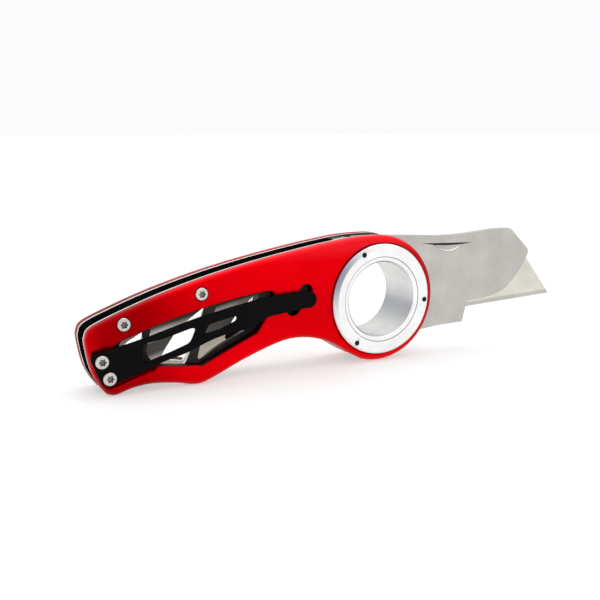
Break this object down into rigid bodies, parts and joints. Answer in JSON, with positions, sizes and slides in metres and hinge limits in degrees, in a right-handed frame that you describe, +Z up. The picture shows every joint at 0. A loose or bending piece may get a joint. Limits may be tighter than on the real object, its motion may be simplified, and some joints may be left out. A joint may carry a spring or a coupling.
{
  "type": "folding utility knife",
  "caption": "Folding utility knife that turns on a hollow finger ring, with red skeleton handle scales, pocket clip and a trapezoid blade in a folded sheet carrier.",
  "frame": {"origin": "middle of the bounding box at its lowest point, where the knife stands on the edge of its handle", "axes": "+X from the butt to the blade tip, +Z up through the spine, +Y from the clip side to the rear side"},
  "size_m": [0.1642, 0.0176, 0.0389],
  "materials": {
    "red_anodised": "satin red anodised",
    "liner_steel": "satin stainless",
    "carrier_steel": "bead-blasted stainless",
    "blade_steel": "ground and oiled carbon steel",
    "turned_aluminium": "turned, clear anodised",
    "screw_steel": "zinc plated",
    "black_plastic": "moulded nylon",
    "black_steel": "black oxide and lacquer",
    "bronze": "plain"
  },
  "bodies": {
    "handle": {"front_scale": "red_anodised", "rear_scale": "red_anodised", "front_liner": "liner_steel", "rear_liner": "liner_steel", "back_spacer": "black_plastic", "stop_block": "screw_steel", "finger_sleeve": "turned_aluminium", "front_retaining_ring": "turned_aluminium", "rear_retaining_ring": "turned_aluminium", "front_thrust_washer": "bronze", "rear_thrust_washer": "bronze", "clip_pad": "black_steel", "clip_lower_standoff": "screw_steel", "clip_lower_front_screw": "screw_steel", "clip_lower_rear_screw": "screw_steel", "clip_upper_standoff": "screw_steel", "clip_upper_front_screw": "screw_steel", "clip_upper_rear_screw": "screw_steel", "butt_standoff": "screw_steel", "butt_front_screw": "screw_steel", "butt_rear_screw": "screw_steel", "middle_standoff": "screw_steel", "middle_front_screw": "screw_steel", "middle_rear_screw": "screw_steel"},
    "carrier": {"blade_carrier": "carrier_steel", "tang_core": "carrier_steel", "blade_spring": "screw_steel", "utility_blade": "blade_steel"},
    "lock": {"lock_bar": "liner_steel"},
    "clip": {"clip_arm": "black_steel"}
  },
  "joints": [
    {"name": "blade_fold", "type": "hinge", "parent": "handle", "child": "carrier", "pos_m": [0.00855, 0.00043, 0.01945], "axis": [0, 1, 0], "range_deg": [0, 176]},
    {"name": "lock_press", "type": "hinge", "parent": "handle", "child": "lock", "pos_m": [-0.04145, -0.00367, 0.01045], "axis": [0, 0, -1], "range_deg": [0, 2.5], "stiffness_Nm_per_rad": 1, "springref_deg": -1.72},
    {"name": "clip_flex", "type": "hinge", "parent": "handle", "child": "clip", "pos_m": [-0.0686, -0.00637, 0.01045], "axis": [0, 0, -1], "range_deg": [0, 4.5], "stiffness_Nm_per_rad": 2, "springref_deg": -0.57}
  ]
}
